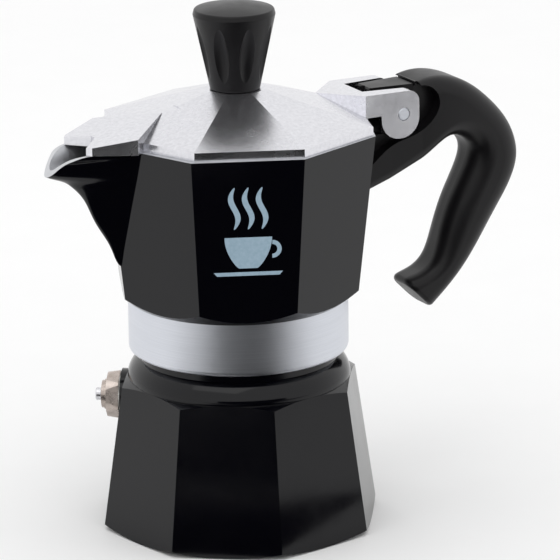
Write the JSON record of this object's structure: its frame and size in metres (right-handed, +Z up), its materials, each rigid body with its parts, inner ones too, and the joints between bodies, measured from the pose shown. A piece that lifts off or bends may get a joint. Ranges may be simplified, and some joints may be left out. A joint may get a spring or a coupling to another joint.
{
  "type": "moka pot",
  "caption": "Stovetop coffee maker with a faceted black boiler and chamber, aluminium lid with a hinge, pointed spout, black knob and hooked handle.",
  "frame": {"origin": "centre of the boiler's flat underside, on the pot's vertical axis", "axes": "+Z up along the pot's axis, +X towards the handle, -X towards the spout"},
  "size_m": [0.1636, 0.0896, 0.1653],
  "materials": {
    "enamelled_boiler": "gloss black baked enamel",
    "enamelled_chamber": "gloss black baked enamel outside, bare aluminium collar, rim and inside",
    "nickelled_brass": "satin nickel",
    "silicone": "matt",
    "stainless": "bright",
    "bare_aluminium": "satin",
    "polished_aluminium": "fine satin polish",
    "pin_aluminium": "satin",
    "black_phenolic": "satin moulded",
    "brass": "plain"
  },
  "bodies": {
    "boiler": {"boiler": "enamelled_boiler", "valve_body": "nickelled_brass", "valve_gasket": "silicone", "valve_cap": "nickelled_brass", "valve_spring": "stainless"},
    "valve_pin": {"valve_pin": "stainless", "valve_seal": "silicone"},
    "funnel": {"coffee_funnel": "bare_aluminium", "funnel_screen": "bare_aluminium"},
    "filter": {"gasket": "silicone", "filter_plate": "bare_aluminium"},
    "upper": {"upper_chamber": "enamelled_chamber", "handle": "black_phenolic", "hinge_pin": "pin_aluminium"},
    "lid": {"lid": "polished_aluminium", "knob": "black_phenolic", "knob_insert": "brass", "knob_washer": "stainless", "knob_screw": "stainless"}
  },
  "joints": [
    {"name": "valve_test", "type": "slide", "parent": "boiler", "child": "valve_pin", "axis": [-0.8314, 0.5557, 0], "range_m": [0, 0.0015], "stiffness_N_per_m": 400, "springref_m": -0.002},
    {"name": "funnel_lift", "type": "slide", "parent": "boiler", "child": "funnel", "axis": [0, 0, 1], "range_m": [0, 0.09]},
    {"name": "upper_lift", "type": "slide", "parent": "funnel", "child": "filter", "axis": [0, 0, 1], "range_m": [0, 0.1]},
    {"name": "unscrew", "type": "hinge", "parent": "filter", "child": "upper", "pos_m": [0, 0, 0.06], "axis": [0, 0, 1], "range_deg": [0, 540]},
    {"name": "lid_hinge", "type": "hinge", "parent": "upper", "child": "lid", "pos_m": [0.053, 0, 0.126], "axis": [0, 1, 0], "range_deg": [0, 92]}
  ]
}
